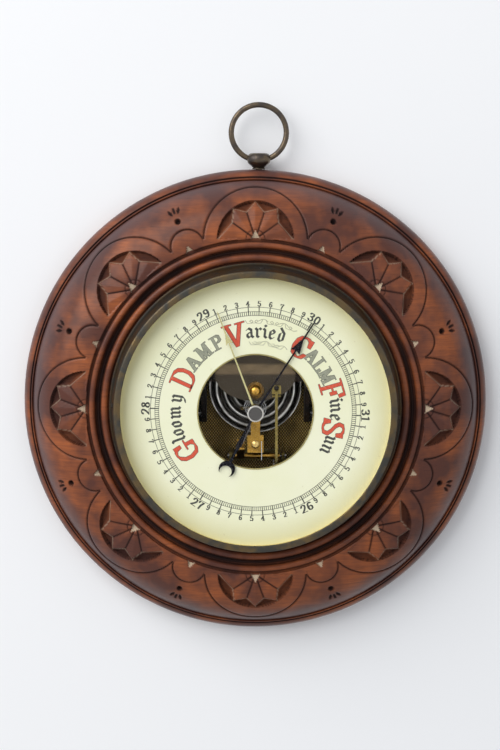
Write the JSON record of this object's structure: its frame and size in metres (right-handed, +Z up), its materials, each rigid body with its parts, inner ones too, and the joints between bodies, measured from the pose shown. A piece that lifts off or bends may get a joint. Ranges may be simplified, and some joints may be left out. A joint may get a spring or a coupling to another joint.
{
  "type": "wall_barometer",
  "caption": "Round wall barometer: turned and carved wooden frame, glazed brass bezel, open dial over a working aneroid movement, set hand and hanging ring.",
  "frame": {"origin": "the centre of the flat back, on the dial's axis, where the barometer lies against the wall", "axes": "+Y points into the wall, so the dial looks along -Y; +Z is up, towards the hanging ring; +X is to the right as the dial is read"},
  "size_m": [0.272, 0.0575, 0.3106],
  "materials": {
    "wood": "french-polished walnut or stained oak, deep red-brown, worn",
    "dark_bronze": "brass gone dark with age, brown-gold where it is rubbed",
    "brass": "lacquered brass",
    "old_brass": "tarnished brass with a fine stippled face",
    "steel": "plain steel",
    "blued_steel": "blued steel, nearly black",
    "iron": "japanned iron, dark",
    "nickel": "nickel silver, dull",
    "dial_ivory": "aged white dial, slightly yellow",
    "glass": "clear flat glass with a bevelled edge"
  },
  "bodies": {
    "frame": {"wood_frame": "wood", "hanger_stem": "dark_bronze", "case_drum": "brass", "case_flange": "brass", "case_screws": "steel", "dial_ledge": "brass", "bezel": "dark_bronze", "bezel_screws": "iron", "glass": "glass", "glass_ring": "brass", "dial_plate": "dial_ivory", "dial_rim": "brass", "arbor_post": "brass", "post_screws": "steel", "arbor_cock": "brass", "cock_screw": "brass", "steady_wire": "steel", "hairspring": "steel", "hairspring_stud": "brass", "base_plate": "old_brass", "base_pillars": "brass", "base_screws": "steel", "capsule_lower": "nickel", "adjuster_bush": "brass", "spring_bridge": "iron", "bridge_screws": "steel", "spring_screws": "steel", "rocker_bracket": "brass", "bracket_screws": "steel", "pivot_screws": "steel"},
    "ring": {"hanger_ring": "dark_bronze"},
    "setter": {"set_knob": "steel", "set_spindle": "brass", "set_washer": "steel", "set_hand": "brass"},
    "index": {"index_hand": "blued_steel", "index_collet": "brass", "arbor": "steel"},
    "rocker": {"rocking_bar": "brass", "chain": "steel"},
    "lever": {"mainspring": "iron", "main_lever": "brass", "lever_screw": "steel", "lever_link": "steel"},
    "capsule_head": {"capsule_upper": "nickel", "capsule_post": "steel", "acorn_cap": "brass"},
    "adjuster": {"rear_adjuster": "steel"}
  },
  "joints": [
    {"name": "ring_swing", "type": "hinge", "parent": "frame", "child": "ring", "pos_m": [0.002, -0.0085, 0.1416], "axis": [1, 0, 0], "range_deg": [-90, 90]},
    {"name": "set_hand_turn", "type": "hinge", "parent": "frame", "child": "setter", "pos_m": [0, -0.052, 0], "axis": [0, 1, 0], "continuous": true},
    {"name": "index_turn", "type": "hinge", "parent": "frame", "child": "index", "pos_m": [0, -0.05, 0], "axis": [0, 1, 0], "range_deg": [-150, 90]},
    {"name": "rocker_rock", "type": "hinge", "parent": "frame", "child": "rocker", "pos_m": [0, -0.029, -0.0284], "axis": [1, 0, 0], "range_deg": [-31.73, 19.04], "deforming": ["chain"]},
    {"name": "lever_rock", "type": "hinge", "parent": "frame", "child": "lever", "pos_m": [0, -0.0336, 0.024], "axis": [1, 0, 0], "range_deg": [-2.04, 1.22], "deforming": ["mainspring"]},
    {"name": "capsule_breathe", "type": "slide", "parent": "frame", "child": "capsule_head", "axis": [0, 1, 0], "range_m": [-0.0004629, 0.0002777], "deforming": ["capsule_upper"]},
    {"name": "adjuster_turn", "type": "hinge", "parent": "frame", "child": "adjuster", "pos_m": [0, -0.008, 0.011], "axis": [0, 1, 0], "range_deg": [-360, 360]}
  ],
  "couplings": [
    {"joint": "rocker_rock", "follows": "index_turn", "ratio": 0.2115},
    {"joint": "lever_rock", "follows": "index_turn", "ratio": 0.0136},
    {"joint": "capsule_breathe", "follows": "index_turn", "m_per_rad": 0.0001768}
  ]
}
